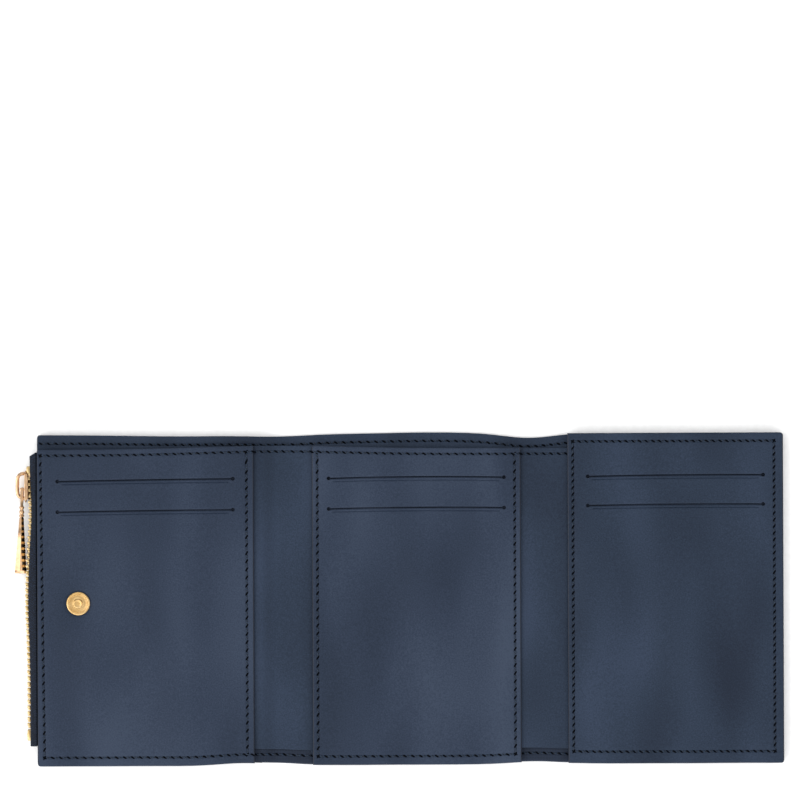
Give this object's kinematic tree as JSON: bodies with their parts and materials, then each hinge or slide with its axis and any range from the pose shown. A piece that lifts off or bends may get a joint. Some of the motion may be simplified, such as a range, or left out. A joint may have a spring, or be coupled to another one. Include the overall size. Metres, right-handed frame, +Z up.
{
  "type": "trifold wallet",
  "caption": "Leather trifold wallet, open: three card panels joined by two folding spines, a bill pocket behind them, and a zipped coin pocket with a snap in one wing.",
  "frame": {"origin": "middle of the centre panel's outer face, which rests on the table", "axes": "+X along the open wallet towards the right wing, +Y to the mouth of the bill pocket, +Z up out of the inner side"},
  "size_m": [0.25, 0.107, 0.0072],
  "materials": {
    "wallet_leather": "smooth matte calf leather with painted edges",
    "gusset_leather": "thin pared leather",
    "pocket_lining": "plain woven polyester lining",
    "sewing_thread": "bonded polyester thread",
    "zip_tape": "herringbone woven zip tape",
    "zip_brass": "light gold plate over brass, polished",
    "snap_brass": "light gold plate over brass, polished",
    "spring_wire": "drawn spring wire"
  },
  "bodies": {
    "centre": {"shell_centre": "wallet_leather", "bill_lining_centre": "pocket_lining", "inner_leaf_centre": "wallet_leather", "slot_lining_centre_upper": "pocket_lining", "slot_lining_centre_lower": "pocket_lining", "card_panel_centre": "wallet_leather", "thread_centre": "sewing_thread"},
    "left_spine": {"shell_left_spine": "wallet_leather", "bill_lining_left_spine": "pocket_lining", "inner_leaf_left_spine": "wallet_leather", "thread_left_spine": "sewing_thread"},
    "left_wing": {"shell_left": "wallet_leather", "bill_lining_left": "pocket_lining", "bill_facing_left": "wallet_leather", "inner_leaf_left": "wallet_leather", "slot_lining_left_upper": "pocket_lining", "slot_lining_left_lower": "pocket_lining", "card_panel_left": "wallet_leather", "coin_lining_outer": "pocket_lining", "coin_lining_inner": "pocket_lining", "coin_gusset": "gusset_leather", "thread_left": "sewing_thread", "zip_tape_outer": "zip_tape", "zip_tape_inner": "zip_tape", "zip_teeth_outer": "zip_brass", "zip_teeth_inner": "zip_brass", "zip_top_stops": "zip_brass", "zip_bottom_stop": "zip_brass", "snap_stud": "snap_brass", "snap_stud_rivet": "snap_brass"},
    "right_spine": {"shell_right_spine": "wallet_leather", "bill_lining_right_spine": "pocket_lining", "inner_leaf_right_spine": "wallet_leather", "thread_right_spine": "sewing_thread"},
    "right_wing": {"shell_right": "wallet_leather", "bill_lining_right": "pocket_lining", "inner_leaf_right": "wallet_leather", "panel_backing_right": "pocket_lining", "slot_lining_right_upper": "pocket_lining", "slot_lining_right_lower": "pocket_lining", "card_panel_right": "wallet_leather", "thread_right": "sewing_thread", "snap_socket": "snap_brass", "snap_socket_spring": "spring_wire", "snap_socket_cap": "snap_brass"},
    "slider": {"zip_slider": "zip_brass"},
    "pull": {"zip_pull": "zip_brass"}
  },
  "joints": [
    {"name": "left_spine_fold", "type": "hinge", "parent": "centre", "child": "left_spine", "pos_m": [-0.03813, 0, 0.0012], "axis": [0, 1, 0], "range_deg": [0, 90]},
    {"name": "left_wing_fold", "type": "hinge", "parent": "left_spine", "child": "left_wing", "pos_m": [-0.05045, 0, 0.0031], "axis": [0, 1, 0], "range_deg": [0, 90]},
    {"name": "right_spine_fold", "type": "hinge", "parent": "centre", "child": "right_spine", "pos_m": [0.03753, 0, 0.0012], "axis": [0, -1, 0], "range_deg": [0, 90]},
    {"name": "right_wing_fold", "type": "hinge", "parent": "right_spine", "child": "right_wing", "pos_m": [0.04557, 0, 0.0012], "axis": [0, -1, 0], "range_deg": [0, 90]},
    {"name": "slider_travel", "type": "slide", "parent": "left_wing", "child": "slider", "axis": [0, -1, 0], "range_m": [0, 0.073]},
    {"name": "pull_swing", "type": "hinge", "parent": "slider", "child": "pull", "pos_m": [-0.1282, 0.0359, 0.0029], "axis": [0, 0, -1], "range_deg": [0, 140]}
  ],
  "couplings": [
    {"joint": "left_spine_fold", "follows": "left_wing_fold", "ratio": 1},
    {"joint": "right_spine_fold", "follows": "right_wing_fold", "ratio": 1}
  ]
}
